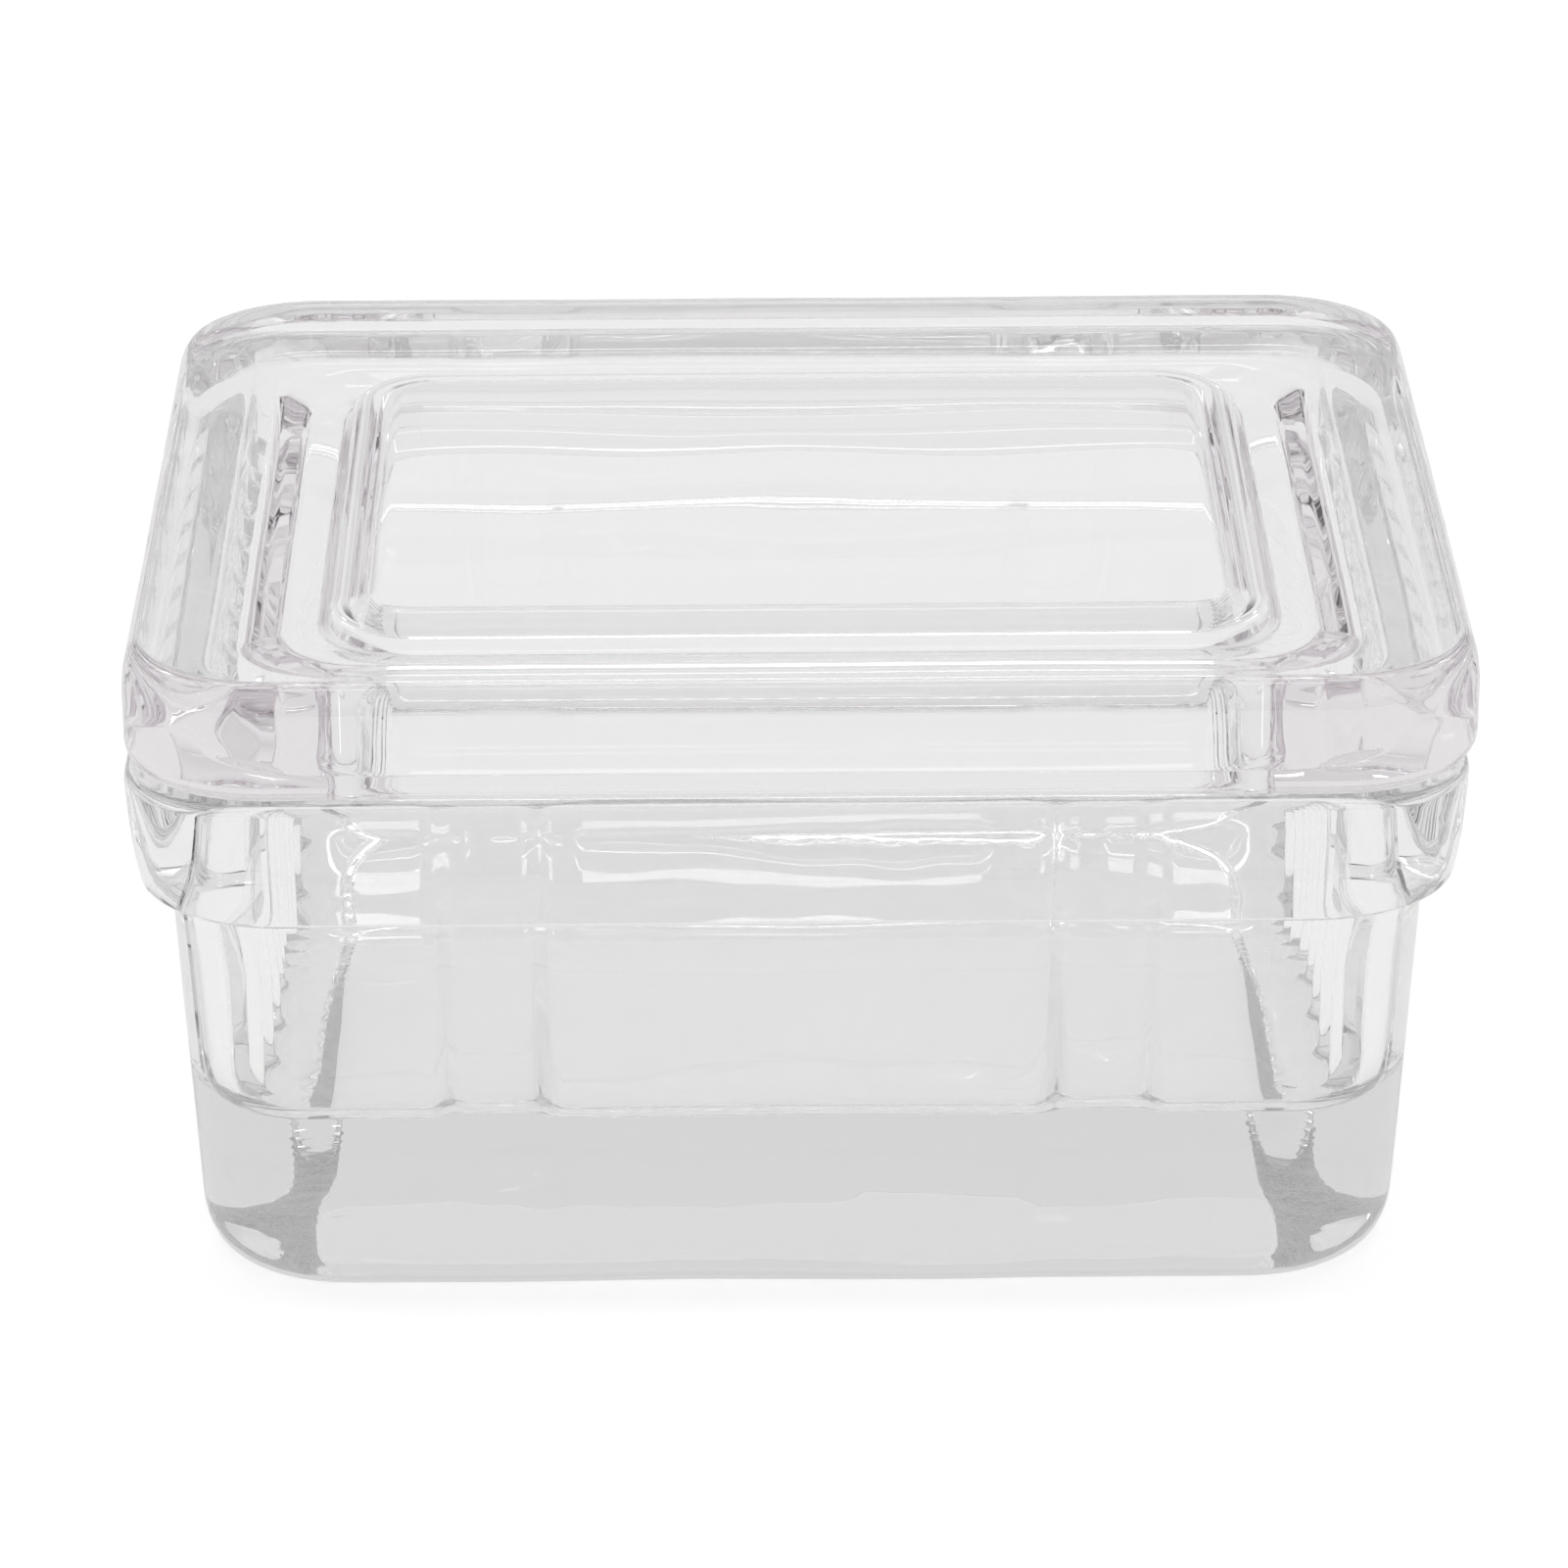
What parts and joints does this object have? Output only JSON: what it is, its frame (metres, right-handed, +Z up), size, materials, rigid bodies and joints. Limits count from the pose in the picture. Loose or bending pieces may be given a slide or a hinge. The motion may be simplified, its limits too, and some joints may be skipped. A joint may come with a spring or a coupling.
{
  "type": "slide staining jar",
  "caption": "Rectangular glass jar with ribbed end walls that hold microscope slides on edge, and a loose thick glass lid with a shallow plug.",
  "frame": {"origin": "under the middle of the jar's foot, on the surface that it stands on", "axes": "+Z up, +X along the slides and the jar's long side, +Y across the row of slides"},
  "size_m": [0.0924, 0.0764, 0.0478],
  "materials": {
    "jar_glass": "clear pressed soda-lime glass, fire-polished",
    "lid_glass": "clear pressed soda-lime glass with a faint pink cast, fire-polished"
  },
  "bodies": {
    "jar": {"jar": "jar_glass"},
    "lid": {"lid": "lid_glass"}
  },
  "joints": [
    {"name": "lid_lift", "type": "slide", "parent": "jar", "child": "lid", "axis": [0, 0, 1], "range_m": [0, 0.06]}
  ]
}
